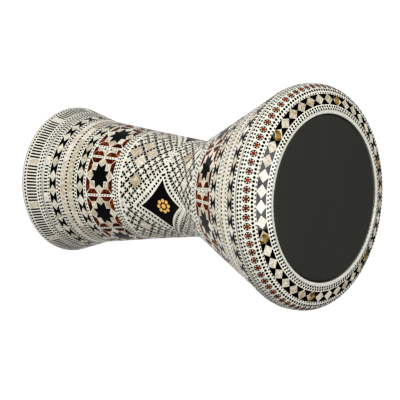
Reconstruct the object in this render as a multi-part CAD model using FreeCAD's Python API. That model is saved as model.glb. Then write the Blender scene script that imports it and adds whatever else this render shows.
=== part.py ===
"""A goblet drum (darbuka) with a hidden tuning ring, in millimetres.

The drum stands on its foot: +Z runs up the drum's axis and the origin is the centre of the foot's
bottom face. The body is one thin aluminium casting. Its outside, and the outside of the tuning ring,
carry a skin of mosaic inlay that lies flush with the bare cast edges. Six socket screws pull the ring
down on the hoop of the drumhead, and the hoop stretches the film over the casting's bearing edge.
"""
import FreeCAD, Part
import math
import os
from FreeCAD import Vector

# ---- the casting's outside, from the foot up ----
FOOT_RADIUS = 103.6          # outside of the foot's bare edge
FOOT_BEVEL = 1.3             # bevel under that edge
FOOT_EDGE = 2.6              # height of the bare edge
FOOT_BAND = 29.2             # inlaid foot band between the edge and the groove
GROOVE_WIDTH = 2.4           # bare groove above the foot band
GROOVE_DEPTH = 1.1
FLARE_RADIUS = 86.6          # where the foot's flare meets the stem
FLARE_HEIGHT = 25.8          # from the groove to that corner
FLARE_FILLET = 90.0
STEM_RADIUS = 74.9           # half-way up the stem
STEM_LOWER = 90.0            # height from the flare to there
STEM_FILLET = 900.0
NECK_RADIUS = 61.9           # where the stem's and the bowl's slopes would cross
STEM_UPPER = 110.5           # height from mid-stem to that crossing
NECK_FILLET = 62.0
BOWL_HEIGHT = 156.0          # from the crossing to the bowl's upper corner
RING_RADIUS = 140.0          # outside of the bowl's rim and of the tuning ring
BOWL_FILLET = 19.0
RIM_LAND = 0.61              # upright rim above that rounded corner

# ---- walls ----
WALL = 4.0                   # cast wall of the body
INLAY = 1.6                  # thickness of the mosaic skin
DECK = 8.0                   # deck that closes the bowl's rim inwards
COLLAR_WALL = 6.0            # collar that carries the bearing edge
EDGE_ROUND = 3.0             # outer rounding of the bearing edge
EDGE_INNER_ROUND = 1.5       # inner rounding of the bearing edge

# ---- drumhead ----
FILM = 0.35                  # thickness of the film
FILM_SKIRT = 16.0            # how far the film comes down outside the collar
HOOP_WIDTH = 5.0
HOOP_HEIGHT = 6.6
HOOP_ROUND = 1.0             # lower edges of the hoop
HOOP_DROP = 9.6              # from the playing surface down to the hoop's top

# ---- tuning ring ----
RING_GAP = 1.8               # open seam between the rim and the ring
RING_RISE = 15.4             # from the ring's bottom to its shoulder's corner
RING_FACE = 37.0             # from the ring's outside in to its bore
LIP_WIDTH = 4.6              # bare rounded lip round the bore
LIP_RISE = 1.6               # lip above the playing surface
LIP_STEP = 0.3               # lip above the inlaid face's inner edge
LIP_ROUND = 1.8
FACE_SLOPE = 19.4            # fall of the inlaid face outwards, degrees
SHOULDER_FILLET = 16.0
RING_WALL = 4.2              # cast wall of the ring's channel
BORE_WALL = 5.5              # cast wall round the bore
FACE_LAND = 0.5              # face inlay left outside the screws' sleeves

# ---- tuning screws: M6 socket head cap screws ----
BOLTS = 6
BOLT_INSET = 18.5            # from the ring's outside in to the screws' circle
THREAD = 6.0                 # diameter
BOLT_LENGTH = 30.0           # under the head
HEAD_DIAMETER = 10.0
HEAD_HEIGHT = 6.0
HEAD_BEVEL = 0.6
TIP_BEVEL = 0.8
KEY_WIDTH = 5.0              # hexagon socket across flats
KEY_DEPTH = 3.0
HEAD_DEPTH = 5.0             # from the inlaid face down to the head
WASHER_DIAMETER = 10.6
WASHER_THICKNESS = 1.6
SLEEVE_WALL = 0.4            # brass sleeve that lines the counterbore
RING_BOSS = 19.0             # diameter
RING_BOSS_FLOOR = 6.0        # metal left under the washer
DECK_BOSS = 16.0             # diameter
DECK_BOSS_END = 3.5          # metal left under the tapped hole
TAP_RESERVE = 2.6            # tapped hole below the screw's tip

# ---- clearances ----
THREAD_PLAY = 0.05           # radial, screw in its tapped hole
SHANK_PLAY = 0.3             # radial, screw in the ring and the washer
WASHER_PLAY = 0.2            # radial, washer in the sleeve
FILM_PLAY = 0.3              # film from the collar, and hoop from the film

# ---- mosaic bands on the body, as heights above the foot ----
STAR_LOW = 105.2             # lower edge of the foot's star band
STAR_HIGH = 151.2
LATTICE_HIGH = 312.8         # upper edge of the lattice on the stem and neck
BOWL_STAR_HIGH = 356.2       # upper edge of the bowl's star band

# ---- black diamond panels in the lattice ----
DIAMONDS = 3
DIAMOND_AZIMUTH = -61.5      # degrees, first panel
DIAMOND_HEIGHT = 233.7       # side points above the foot
DIAMOND_HALF_WIDTH = 34.0
DIAMOND_RISE = 28.9          # upper point above the side points
DIAMOND_DROP = 36.6          # lower point below them
DIAMOND_HOLLOW = 4.3         # how far each side bends inwards
ROSETTE_PETALS = 8
ROSETTE_CIRCLE = 7.6         # radius of the petals' centres
PETAL_RADIUS = 2.6
ROSETTE_HUB = 3.4
ROSETTE_DEPTH = 0.7          # gilt inlay let into the panel

# ---- heights that follow ----
GROOVE_LOW = FOOT_EDGE + FOOT_BAND
GROOVE_HIGH = GROOVE_LOW + GROOVE_WIDTH
FLARE_TOP = GROOVE_HIGH + FLARE_HEIGHT
MID_STEM = FLARE_TOP + STEM_LOWER
NECK = MID_STEM + STEM_UPPER
BOWL_CORNER = NECK + BOWL_HEIGHT
BOWL_LEAN = math.atan2(RING_RADIUS - NECK_RADIUS, BOWL_HEIGHT)
RIM = BOWL_CORNER + BOWL_FILLET * math.tan(BOWL_LEAN / 2) + RIM_LAND
RING_BOTTOM = RIM + RING_GAP
FACE_FALL = math.tan(math.radians(FACE_SLOPE))

LIP_RADIUS = RING_RADIUS - RING_FACE
BOLT_CIRCLE = RING_RADIUS - BOLT_INSET
FILM_OUTSIDE = LIP_RADIUS - FILM_PLAY
FILM_INSIDE = FILM_OUTSIDE - FILM
COLLAR_OUTSIDE = FILM_INSIDE - FILM_PLAY
COLLAR_INSIDE = COLLAR_OUTSIDE - COLLAR_WALL
FACE_INNER = LIP_RADIUS + LIP_WIDTH

FACE_OUTER_Z = RING_BOTTOM + RING_RISE
FACE_INNER_Z = FACE_OUTER_Z + FACE_FALL * (RING_RADIUS - FACE_INNER)
LIP_TOP = FACE_INNER_Z + LIP_STEP
SKIN_TOP = LIP_TOP - LIP_RISE
EDGE_TOP = SKIN_TOP - FILM
HOOP_TOP = SKIN_TOP - HOOP_DROP
FACE_AT_BOLT = FACE_INNER_Z - FACE_FALL * (BOLT_CIRCLE - FACE_INNER)
HEAD_TOP = FACE_AT_BOLT - HEAD_DEPTH
HEAD_SEAT = HEAD_TOP - HEAD_HEIGHT
BORE_FLOOR = HEAD_SEAT - WASHER_THICKNESS
BOLT_TIP = HEAD_SEAT - BOLT_LENGTH
SLEEVE_BORE = WASHER_DIAMETER / 2 + WASHER_PLAY
SLEEVE_OUTSIDE = SLEEVE_BORE + SLEEVE_WALL
FACE_SPLIT = BOLT_CIRCLE + SLEEVE_OUTSIDE + FACE_LAND

# Corners are (radius, height, fillet), from the foot upwards on the outside.
BODY_CORNERS = [
    (FOOT_RADIUS - FOOT_BEVEL, 0, 0),
    (FOOT_RADIUS, FOOT_BEVEL, 0),
    (FLARE_RADIUS, FLARE_TOP, FLARE_FILLET),
    (STEM_RADIUS, MID_STEM, STEM_FILLET),
    (NECK_RADIUS, NECK, NECK_FILLET),
    (RING_RADIUS, BOWL_CORNER, BOWL_FILLET),
    (RING_RADIUS, RIM, 0),
]
RING_CORNERS = [
    (RING_RADIUS, RING_BOTTOM, 0),
    (RING_RADIUS, FACE_OUTER_Z, SHOULDER_FILLET),
    (FACE_INNER, FACE_INNER_Z, 0),
]


def point(radius, height):
    return Vector(radius, 0, height)


def unit(start, end):
    length = math.hypot(end[0] - start[0], end[1] - start[1])
    return (end[0] - start[0]) / length, (end[1] - start[1]) / length


def turn(before, after):
    """Positive where a path that runs up the outside bends towards the axis."""
    return before[0] * after[1] - before[1] * after[0]


def rounded(corners):
    """Edges of an open path of straight runs, with a tangent arc at each corner that has a fillet."""
    edges = []
    start = point(*corners[0][:2])
    for before, here, after in zip(corners, corners[1:], corners[2:]):
        into = unit(before, here)
        out = unit(here, after)
        angle = math.atan2(abs(turn(into, out)), into[0] * out[0] + into[1] * out[1])
        reach = here[2] * math.tan(angle / 2)
        corner = point(*here[:2])
        if reach > 0:
            first = corner - point(*into) * reach
            last = corner + point(*out) * reach
            bisector = (first + last) * 0.5 - corner
            sagitta = here[2] / math.cos(angle / 2) - here[2]
            middle = corner + bisector.normalize() * sagitta
            edges.append(Part.LineSegment(start, first).toShape())
            edges.append(Part.Arc(first, middle, last).toShape())
            start = last
        else:
            edges.append(Part.LineSegment(start, corner).toShape())
            start = corner
    edges.append(Part.LineSegment(start, point(*corners[-1][:2])).toShape())
    return edges


def inset(corners, depth):
    """The same corners moved inwards by depth; both ends stay at their own height or radius."""
    runs = [unit(a, b) for a, b in zip(corners, corners[1:])]
    moved = []
    for index, (radius, height, fillet) in enumerate(corners):
        before = runs[max(index - 1, 0)]
        after = runs[min(index, len(runs) - 1)]
        bend = 1 + before[0] * after[0] + before[1] * after[1]
        shift_r = -(before[1] + after[1]) * depth / bend
        shift_z = (before[0] + after[0]) * depth / bend
        side = depth if turn(before, after) > 0 else -depth
        new_fillet = max(fillet - side, 0) if fillet > 0 else 0
        moved.append((radius + shift_r, height + shift_z, new_fillet))
    return moved


def at_height(corners, height):
    """First corner slid along its run to a height."""
    (r1, z1, _), (r2, z2, _) = corners[:2]
    return [(r1 + (r2 - r1) * (height - z1) / (z2 - z1), height, 0)] + corners[1:]


def to_height(corners, height):
    """Last corner slid along its run to a height."""
    return at_height(corners[::-1], height)[::-1]


def to_radius(corners, radius):
    """Last corner slid along its run to a radius."""
    (r1, z1, _), (r2, z2, _) = corners[-2:]
    return corners[:-1] + [(radius, z1 + (z2 - z1) * (radius - r1) / (r2 - r1), 0)]


def spin(outer, inner):
    """Solid of revolution between an outer path and an inner path that both run upwards."""
    up = rounded(outer)
    down = rounded(inner[::-1])
    bottom = Part.LineSegment(down[-1].Vertexes[-1].Point, up[0].Vertexes[0].Point).toShape()
    top = Part.LineSegment(up[-1].Vertexes[-1].Point, down[0].Vertexes[0].Point).toShape()
    face = Part.Face(Part.Wire(up + [top] + down + [bottom]))
    return face.revolve(Vector(0, 0, 0), Vector(0, 0, 1), 360)


def spin_corners(corners):
    """Solid of revolution of one closed section, given by its corners."""
    edges = rounded(corners + [corners[0]])
    return Part.Face(Part.Wire(edges)).revolve(Vector(0, 0, 0), Vector(0, 0, 1), 360)


def tube(outside, inside, low, high):
    return spin_corners([(inside, low, 0), (outside, low, 0), (outside, high, 0), (inside, high, 0)])


def cylinder(radius, low, high, x=0.0):
    return Part.makeCylinder(radius, high - low, Vector(x, 0, low))


def turned(shape, degrees):
    copy = shape.copy()
    copy.rotate(Vector(0, 0, 0), Vector(0, 0, 1), degrees)
    return copy


def around(shape, count, start=0.0):
    return [turned(shape, start + 360.0 * n / count) for n in range(count)]


# ---- mosaic skins ----
def body_skin():
    """The whole mosaic skin of the body, before it is parted into bands."""
    outer = BODY_CORNERS[1:]
    return spin(at_height(outer, FOOT_EDGE), at_height(inset(outer, INLAY), FOOT_EDGE))


def band(skin, low, high):
    return skin.common(cylinder(2 * RING_RADIUS, low, high))


def ring_skin():
    inner = to_radius(at_height(inset(RING_CORNERS, INLAY), RING_BOTTOM), FACE_INNER)
    return spin(RING_CORNERS, inner)


# ---- the body ----
def groove_cutter():
    """Rounded groove above the foot band, cut square to the foot's slope."""
    half = GROOVE_WIDTH / 2
    sweep = (half * half + GROOVE_DEPTH * GROOVE_DEPTH) / (2 * GROOVE_DEPTH)
    slope_r, slope_z = unit(BODY_CORNERS[1], BODY_CORNERS[2])
    middle = (GROOVE_LOW + GROOVE_HIGH) / 2
    surface = FOOT_RADIUS + slope_r / slope_z * (middle - FOOT_BEVEL)
    out = sweep - GROOVE_DEPTH
    return Part.makeTorus(surface + out * slope_z, sweep, Vector(0, 0, middle - out * slope_r))


def bearing_edge():
    """Collar inside the drumhead, rounded where the film runs over it."""
    return spin_corners([
        (COLLAR_INSIDE, RIM - DECK, 0),
        (COLLAR_OUTSIDE, RIM - DECK, 0),
        (COLLAR_OUTSIDE, EDGE_TOP, EDGE_ROUND),
        (COLLAR_INSIDE, EDGE_TOP, EDGE_INNER_ROUND),
    ])


def casting_envelope():
    """Everything inside the casting's own outside, to trim the deck and its bosses to it."""
    outside = at_height(inset(BODY_CORNERS[1:], INLAY), FOOT_EDGE)
    return spin(outside, [(0, FOOT_EDGE, 0), (0, RIM, 0)])


def deck_bosses():
    """Bosses under the deck for the tapped holes, grown into the bowl's wall."""
    low = BOLT_TIP - TAP_RESERVE - DECK_BOSS_END
    boss = cylinder(DECK_BOSS / 2, low, RIM - DECK / 2, BOLT_CIRCLE)
    return around(boss.common(casting_envelope()), BOLTS)


def tapped_hole():
    return cylinder(THREAD / 2 + THREAD_PLAY, BOLT_TIP - TAP_RESERVE, RIM + RING_GAP, BOLT_CIRCLE)


def shell_casting(skins):
    inside = inset(BODY_CORNERS[1:], INLAY + WALL)
    wall = spin(BODY_CORNERS, to_height(at_height(inside, 0), RIM))
    deck = tube(RING_RADIUS, COLLAR_INSIDE, RIM - DECK, RIM).common(casting_envelope())
    casting = wall.fuse([deck, bearing_edge()] + deck_bosses())
    casting = casting.cut(skins + [groove_cutter()] + around(tapped_hole(), BOLTS))
    return casting.removeSplitter()


# ---- diamond panels ----
def diamond_prism():
    """Four-pointed panel with hollow sides, as a bar that points along +X."""
    tips = [(DIAMOND_HALF_WIDTH, 0), (0, DIAMOND_RISE), (-DIAMOND_HALF_WIDTH, 0), (0, -DIAMOND_DROP)]
    start = NECK_RADIUS / 2
    edges = []
    for (y1, z1), (y2, z2) in zip(tips, tips[1:] + tips[:1]):
        middle = Vector(start, (y1 + y2) / 2, (z1 + z2) / 2)
        inwards = Vector(0, -middle.y, -middle.z).normalize() * DIAMOND_HOLLOW
        ends = Vector(start, y1, z1), Vector(start, y2, z2)
        edges.append(Part.Arc(ends[0], middle + inwards, ends[1]).toShape())
    prism = Part.Face(Part.Wire(edges)).extrude(Vector(RING_RADIUS - start, 0, 0))
    prism.translate(Vector(0, 0, DIAMOND_HEIGHT))
    return prism


def rosette_bars():
    """Round bars along +X: a hub and a circle of petals."""
    start = Vector(NECK_RADIUS / 2, 0, DIAMOND_HEIGHT)
    length = RING_RADIUS - start.x
    bars = [Part.makeCylinder(ROSETTE_HUB, length, start, Vector(1, 0, 0))]
    for n in range(ROSETTE_PETALS):
        angle = 2 * math.pi * n / ROSETTE_PETALS
        offset = Vector(0, math.cos(angle), math.sin(angle)) * ROSETTE_CIRCLE
        bars.append(Part.makeCylinder(PETAL_RADIUS, length, start + offset, Vector(1, 0, 0)))
    return bars


def gilt_skin():
    """The outermost layer of the body, as deep as the gilt inlay."""
    outer = BODY_CORNERS[1:]
    return spin(at_height(outer, FOOT_EDGE), at_height(inset(outer, ROSETTE_DEPTH), FOOT_EDGE))


def rosettes():
    layer = gilt_skin().common(diamond_prism())
    rosette = Part.makeCompound([layer.common(bar) for bar in rosette_bars()])
    return around(rosette, DIAMONDS, DIAMOND_AZIMUTH)


# ---- drumhead ----
def head_film():
    """Flat film that bends over the bearing edge into a short upright skirt."""
    bottom = SKIN_TOP - FILM_SKIRT
    bend = EDGE_ROUND + FILM_PLAY
    outer = [(FILM_OUTSIDE, bottom, 0), (FILM_OUTSIDE, SKIN_TOP, bend + FILM), (0, SKIN_TOP, 0)]
    inner = [(FILM_INSIDE, bottom, 0), (FILM_INSIDE, EDGE_TOP, bend), (0, EDGE_TOP, 0)]
    return spin(outer, inner)


def head_hoop():
    inside = FILM_OUTSIDE + FILM_PLAY
    return spin_corners([
        (inside, HOOP_TOP - HOOP_HEIGHT, HOOP_ROUND),
        (inside + HOOP_WIDTH, HOOP_TOP - HOOP_HEIGHT, HOOP_ROUND),
        (inside + HOOP_WIDTH, HOOP_TOP, 0),
        (inside, HOOP_TOP, 0),
    ])


# ---- tuning ring ----
def ring_section():
    """Channel section: bore wall with a rounded lip, sloping face, shoulder and outer wall."""
    channel = to_radius(at_height(inset(RING_CORNERS, INLAY + RING_WALL), RING_BOTTOM),
                        LIP_RADIUS + BORE_WALL)
    lip = [(LIP_RADIUS, LIP_TOP, LIP_ROUND), (LIP_RADIUS, HOOP_TOP, 0)]
    foot = [(LIP_RADIUS + BORE_WALL, HOOP_TOP, 0)]
    return RING_CORNERS + lip + foot + channel[::-1]


def ring_boss():
    return cylinder(RING_BOSS / 2, BORE_FLOOR - RING_BOSS_FLOOR, FACE_AT_BOLT, BOLT_CIRCLE)


def ring_bores():
    counterbore = cylinder(SLEEVE_OUTSIDE, BORE_FLOOR, LIP_TOP + HEAD_HEIGHT, BOLT_CIRCLE)
    shank = cylinder(THREAD / 2 + SHANK_PLAY, RING_BOTTOM, BORE_FLOOR + 1, BOLT_CIRCLE)
    return around(counterbore, BOLTS) + around(shank, BOLTS)


def ring_envelope():
    """Everything under the ring's face, to trim bosses and sleeves to it."""
    floor = [(LIP_RADIUS, RING_BOTTOM, 0)]
    return spin_corners(floor + RING_CORNERS + [(LIP_RADIUS, FACE_INNER_Z, 0)])


def tuning_ring(skin):
    section = spin_corners(ring_section())
    envelope = ring_envelope()
    bosses = [boss.common(envelope) for boss in around(ring_boss(), BOLTS)]
    ring = section.fuse(bosses).cut([skin] + ring_bores())
    return ring.removeSplitter()


def sleeves():
    """Brass sleeves in the counterbores, cut off flush with the sloping face."""
    sleeve = cylinder(SLEEVE_OUTSIDE, BORE_FLOOR, LIP_TOP, BOLT_CIRCLE)
    sleeve = sleeve.cut(cylinder(SLEEVE_BORE, BORE_FLOOR, LIP_TOP, BOLT_CIRCLE))
    return around(sleeve.common(ring_envelope()), BOLTS)


# ---- fasteners ----
def washers():
    washer = cylinder(WASHER_DIAMETER / 2, BORE_FLOOR, HEAD_SEAT, BOLT_CIRCLE)
    hole = cylinder(THREAD / 2 + SHANK_PLAY, BORE_FLOOR, HEAD_SEAT, BOLT_CIRCLE)
    return around(washer.cut(hole), BOLTS)


def tuning_bolt():
    """Socket head cap screw on the first bolt position, thread drawn as a plain shank."""
    screw = spin_corners([
        (0, BOLT_TIP, 0),
        (THREAD / 2 - TIP_BEVEL, BOLT_TIP, 0),
        (THREAD / 2, BOLT_TIP + TIP_BEVEL, 0),
        (THREAD / 2, HEAD_SEAT, 0),
        (HEAD_DIAMETER / 2, HEAD_SEAT, 0),
        (HEAD_DIAMETER / 2, HEAD_TOP - HEAD_BEVEL, 0),
        (HEAD_DIAMETER / 2 - HEAD_BEVEL, HEAD_TOP, 0),
        (0, HEAD_TOP, 0),
    ])
    reach = KEY_WIDTH / 2 / math.cos(math.pi / 6)
    angles = [math.pi / 3 * n for n in range(BOLTS + 1)]
    outline = [Vector(reach * math.cos(a), reach * math.sin(a), HEAD_TOP - KEY_DEPTH) for a in angles]
    socket = Part.Face(Part.makePolygon(outline)).extrude(Vector(0, 0, KEY_DEPTH))
    screw = screw.cut(socket)
    screw.translate(Vector(BOLT_CIRCLE, 0, 0))
    return screw


def save(name, shape):
    if isinstance(shape, list):
        shape = Part.makeCompound([s for item in shape for s in item.Solids])
    if len(shape.Solids) == 1:
        shape = shape.Solids[0]
    shape.exportStep("parts/%s.step" % name)
    print(name, "solids", len(shape.Solids), "volume", round(shape.Volume), "valid", shape.isValid())


def main():
    os.makedirs("parts", exist_ok=True)
    skin = body_skin()
    diamonds = around(diamond_prism(), DIAMONDS, DIAMOND_AZIMUTH)
    gilt = rosettes()
    lattice = band(skin, STAR_HIGH, LATTICE_HIGH)
    bands = {
        "foot_rim_inlay": band(skin, FOOT_EDGE, GROOVE_LOW),
        "foot_band_inlay": band(skin, GROOVE_HIGH, STAR_LOW),
        "foot_star_inlay": band(skin, STAR_LOW, STAR_HIGH),
        "lattice_inlay": lattice.cut(diamonds),
        "bowl_star_inlay": band(skin, LATTICE_HIGH, BOWL_STAR_HIGH),
        "bowl_band_inlay": band(skin, BOWL_STAR_HIGH, RIM),
    }
    panels = [lattice.common(prism).cut(gilt) for prism in diamonds]
    edge = ring_skin()
    face = edge.common(cylinder(FACE_SPLIT, RING_BOTTOM, LIP_TOP)).cut(ring_bores())
    side = edge.cut(cylinder(FACE_SPLIT, RING_BOTTOM, LIP_TOP))

    save("shell_casting", shell_casting(list(bands.values()) + panels + gilt))
    for name, shape in bands.items():
        save(name, shape)
    for n, panel in enumerate(panels, 1):
        save("diamond_panel_%d" % n, panel)
    save("gilt_rosettes", gilt)
    save("head_film", head_film())
    save("head_hoop", head_hoop())
    save("tuning_ring", tuning_ring(edge))
    save("ring_side_inlay", side)
    save("ring_face_inlay", face)
    save("bolt_sleeves", sleeves())
    save("bolt_washers", washers())
    for n, screw in enumerate(around(tuning_bolt(), BOLTS), 1):
        save("tuning_bolt_%d" % n, screw)
    print("lip %.2f skin %.2f face at bolt %.2f head %.2f floor %.2f tip %.2f hoop %.2f" % (
        LIP_TOP, SKIN_TOP, FACE_AT_BOLT, HEAD_TOP, BORE_FLOOR, BOLT_TIP, HOOP_TOP))


main()
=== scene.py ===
# %% [markdown]
# # A goblet drum covered in mosaic
#
# The real drum is one aluminium casting, turned smooth and then covered all round with thousands of
# small tiles of mother-of-pearl, shell, black resin and dyed horn. They are set in bone-coloured
# resin, levelled and sealed under a thick clear lacquer. A tuning ring with six screws stretches the
# drumhead. The solids come from the CAD model. This lesson adds the tiles, finishes, light and camera.

# %% Load the model
import math

import bpy
import numpy as np
from mathutils import Matrix, Vector


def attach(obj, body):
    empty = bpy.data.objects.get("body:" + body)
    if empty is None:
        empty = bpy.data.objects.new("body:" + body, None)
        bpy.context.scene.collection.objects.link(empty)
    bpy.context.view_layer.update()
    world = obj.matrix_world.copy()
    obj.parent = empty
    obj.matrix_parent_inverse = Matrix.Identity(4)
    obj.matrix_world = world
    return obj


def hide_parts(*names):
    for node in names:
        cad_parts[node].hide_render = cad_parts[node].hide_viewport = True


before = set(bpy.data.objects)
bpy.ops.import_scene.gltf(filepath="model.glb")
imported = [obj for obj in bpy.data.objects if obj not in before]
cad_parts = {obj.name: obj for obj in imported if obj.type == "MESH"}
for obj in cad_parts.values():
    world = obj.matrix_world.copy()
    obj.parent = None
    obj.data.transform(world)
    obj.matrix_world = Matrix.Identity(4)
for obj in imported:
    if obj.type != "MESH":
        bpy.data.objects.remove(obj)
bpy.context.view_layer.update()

# %% [markdown]
# ## The drum's outline as a path
#
# Every tile lies on a turned surface, so a place on the drum needs only two numbers: the azimuth in
# degrees, and the millimetres travelled up the profile. A setter of real tiles thinks the same way,
# in courses round the drum. The profile is straight runs joined by round arcs, as it was turned.

# %% Profiles
MM = 0.001
FINE_STEP = 0.25          # mm between samples of a profile


def fillet_samples(before, corner, after, radius):
    """Points on the arc of this radius that touches both runs; it starts radius * tan(turn / 2) away."""
    into = (corner - before) / np.linalg.norm(corner - before)
    out = (after - corner) / np.linalg.norm(after - corner)
    bend = math.atan2(into[0] * out[1] - into[1] * out[0], into @ out)
    start = corner - into * radius * math.tan(abs(bend) / 2)
    side = math.copysign(1, bend) * np.array([-into[1], into[0]])
    steps = np.linspace(0, bend, max(int(radius * abs(bend) / FINE_STEP), 2))[:, None]
    turned = -side * np.cos(steps) + np.array([side[1], -side[0]]) * np.sin(steps)
    return start + radius * (side + turned)


def profile(corners):
    """Radius and height along a path of (radius, height, fillet) corners, at even steps of length."""
    points = [np.array([corners[0][:2]])]
    for before, here, after in zip(corners, corners[1:], corners[2:]):
        spots = [np.array(spot[:2], float) for spot in (before, here, after)]
        points.append(fillet_samples(*spots, here[2]) if here[2] else spots[1][None])
    points = np.concatenate(points + [np.array([corners[-1][:2]])]).astype(float)
    travelled = np.r_[0, np.cumsum(np.hypot(*np.diff(points, axis=0).T))]
    length = np.linspace(0, travelled[-1], int(travelled[-1] / FINE_STEP))
    radius = np.interp(length, travelled, points[:, 0])
    height = np.interp(length, travelled, points[:, 1])
    slope = np.gradient(np.stack([radius, height]), length, axis=1)
    slope /= np.hypot(*slope)
    return {"length": length, "radius": radius, "height": height, "out": slope[1], "up": -slope[0]}


# Corners as (radius, height, fillet) in mm: the body from the foot's bare edge up to the seam, and
# the tuning ring from the seam over its shoulder to the lip.
BODY_CORNERS = [(103.6, 1.3, 0), (86.6, 60.0, 90), (74.9, 150.0, 900), (61.9, 260.5, 62),
                (140.0, 416.5, 19), (140.0, 421.6, 0)]
RING_CORNERS = [(140.0, 423.4, 0), (140.0, 438.8, 16.0), (107.6, 450.21, 0)]
body_path = profile(BODY_CORNERS)
ring_path = profile(RING_CORNERS)
for title, path in (("body", body_path), ("ring", ring_path)):
    print(title, "profile is", round(float(path["length"][-1]), 1), "mm long")

# %% [markdown]
# A point `depth` millimetres under the finished surface is found by stepping back along the
# surface's normal. Whole arrays of points are placed at once.


# %% Placing points on the drum
def at(azimuths, lengths):
    """Points (azimuth, length) from two arrays, or from an array and one number."""
    return np.stack(np.broadcast_arrays(azimuths, lengths), -1)


def radius_at(path, length):
    """Distance from the drum's axis after this many millimetres of profile."""
    return np.interp(length, path["length"], path["radius"])


def degrees_per_mm(path, length):
    """Azimuth that one millimetre round the drum takes up: 180 / (pi * radius)."""
    return 180.0 / (math.pi * radius_at(path, length))


def on_drum(path, points, depth):
    """x = (r - depth n) cos a, y = (r - depth n) sin a, z = h - depth m, for the normal (n, m)."""
    angle, length = np.radians(points[..., 0]), points[..., 1]
    sample = {key: np.interp(length, path["length"], path[key])
              for key in ("radius", "height", "out", "up")}
    radius = sample["radius"] - depth * sample["out"]
    height = sample["height"] - depth * sample["up"]
    place = np.stack([radius * np.cos(angle), radius * np.sin(angle), height], -1) * MM
    normal = np.stack([sample["out"] * np.cos(angle), sample["out"] * np.sin(angle), sample["up"]], -1)
    return place, normal


print("one millimetre round the foot is", round(float(degrees_per_mm(body_path, 0.0)), 2), "degrees")

# %% [markdown]
# ## Tiles
#
# A tile is a polygon in (azimuth, millimetres). Real tiles are levelled flush, and the lacquer over
# them is one smooth sheet, so the tiles here are thin faces that follow the drum closely: large
# ones are split so that they bend with it, and all take the smooth surface's own normals.

# %% Tile helpers
# Depths are in mm under the finished surface. What is set into a tile or over it lies higher.
GROUND_DEPTH = 0.22       # the bone resin that everything is set in
SEAM_DEPTH = 0.12         # glue round the lattice's small cells
LARGE_SEAM_DEPTH = 0.10   # glue round its large squares of pearl
TILE_DEPTH = 0.06         # tiles in general
INSET_DEPTH = 0.05        # black cells of the lattice, and the rosettes
RIBBON_DEPTH = 0.04       # bone frames of the black panels
DOT_DEPTH = 0.03          # dots, and what is set over a seam or a ribbon
TOP_DEPTH = 0.02          # black panels, and the dots set into a ribbon
chooser = np.random.default_rng(7)


def polygons(corners, finish, depth=TILE_DEPTH, tone=None):
    """A group of tiles. corners has the shape (tiles, corners each, 2)."""
    corners = np.asarray(corners, float)
    tone = chooser.random(len(corners)) if tone is None else tone
    return {"corners": corners, "finish": finish, "depth": depth, "tone": tone}


def split(corners, parts):
    """Each four-cornered tile as parts x parts smaller ones, by blending its corners evenly."""
    corners = np.asarray(corners, float)
    step = np.linspace(0, 1, parts + 1)
    across, along = np.meshgrid(step, step, indexing="ij")
    weights = np.stack([(1 - across) * (1 - along), across * (1 - along),
                        across * along, (1 - across) * along])
    grid = np.einsum("kij,nkc->nijc", weights, corners)
    cells = np.stack([grid[:, :-1, :-1], grid[:, 1:, :-1], grid[:, 1:, 1:], grid[:, :-1, 1:]], 3)
    return cells.reshape(-1, 4, 2)


def quads(corners, finish, depth=TILE_DEPTH, parts=1):
    """A group of four-cornered tiles, each split into parts x parts faces of one tone."""
    tone = np.repeat(chooser.random(len(corners)), parts * parts)
    return polygons(split(corners, parts), finish, depth, tone)


def turned_outwards(corners):
    """Tiles whose corners run clockwise are reversed, so that all of them face out."""
    following = np.roll(corners, -1, axis=1)
    area = (corners[..., 0] * following[..., 1] - following[..., 0] * corners[..., 1]).sum(1)
    return np.where(area[:, None, None] < 0, corners[:, ::-1], corners)


print("a tile in 4 x 4 parts has", len(split([[(0, 0), (9, 0), (9, 9), (0, 9)]], 4)), "faces")

# %% [markdown]
# Each band of mosaic becomes one mesh: a ground of bone-coloured resin that carries the seams
# between the tiles, and the tile groups above it. The ground's edges turn inwards to the casting.


# %% The ground of a band
EDGE_RETURN = 1.5         # mm that a band's cut edge reaches inwards
GROUND_ROW = 2.5          # mm, about the height of the ground's faces
GROUND_AROUND = 300       # its faces round the drum


def ground_grid(path, low, high, stops=(), window=None):
    """Points of the ground: rows from low to high, with one more row turned inwards at each end.
    Rows are added at the stops, and faces whose middle lies in the window are left out."""
    around = GROUND_AROUND
    rows = np.linspace(low, high, max(int((high - low) / GROUND_ROW), 2) + 1)
    rows = np.r_[low, np.sort(np.r_[rows, stops]), high]
    depths = np.full(len(rows), GROUND_DEPTH)
    depths[[0, -1]] = EDGE_RETURN
    angles = np.arange(around) * 360.0 / around
    points = at(angles, rows[:, None])
    place, normal = on_drum(path, points, np.broadcast_to(depths[:, None], points.shape[:2]))
    row, column = np.meshgrid(np.arange(len(rows) - 1), np.arange(around), indexing="ij")
    beside = (column + 1) % around
    faces = np.stack([row * around + column, row * around + beside,
                      (row + 1) * around + beside, (row + 1) * around + column], -1)
    if window is not None:
        middle = points[:-1] + ((points[1:] - points[:-1]) + (360.0 / around, 0)) / 2
        faces = faces[~window(middle)]
    return place.reshape(-1, 3), normal.reshape(-1, 3), faces.reshape(-1, 4)


print("the ground's faces are about", round(360.0 / GROUND_AROUND, 2), "degrees by", GROUND_ROW, "mm")


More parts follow.
